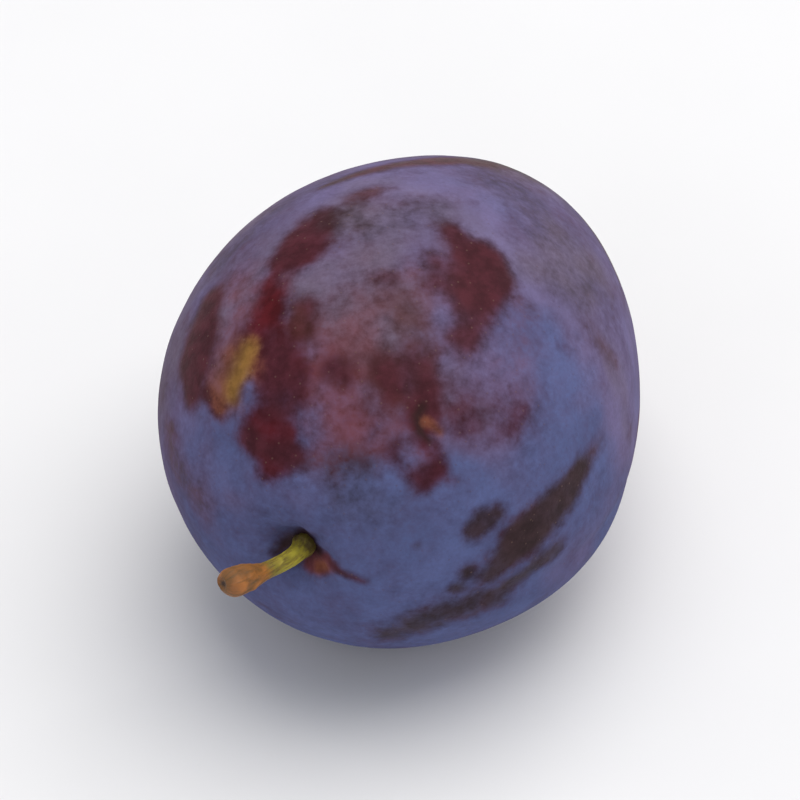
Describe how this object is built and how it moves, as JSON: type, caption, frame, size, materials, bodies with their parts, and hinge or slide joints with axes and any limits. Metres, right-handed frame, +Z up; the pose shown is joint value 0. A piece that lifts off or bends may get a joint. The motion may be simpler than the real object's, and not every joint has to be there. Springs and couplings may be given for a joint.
{
  "type": "plum",
  "caption": "Ripe blue plum lying on its side on a small flat spot, egg-shaped, with a shallow suture, a stem cavity and a short stalk ending in a knob.",
  "frame": {"origin": "centre of the small flat spot that the plum rests on, at the table's surface", "axes": "+Z up from the table; the stem end points towards -Y, turned a little towards -X, and the blossom tip towards +Y"},
  "size_m": [0.0422, 0.0515, 0.0403],
  "materials": {
    "bloomed_skin": "matte",
    "stalk": "matte"
  },
  "bodies": {
    "root": {"fruit": "bloomed_skin", "stalk": "stalk"}
  },
  "joints": []
}
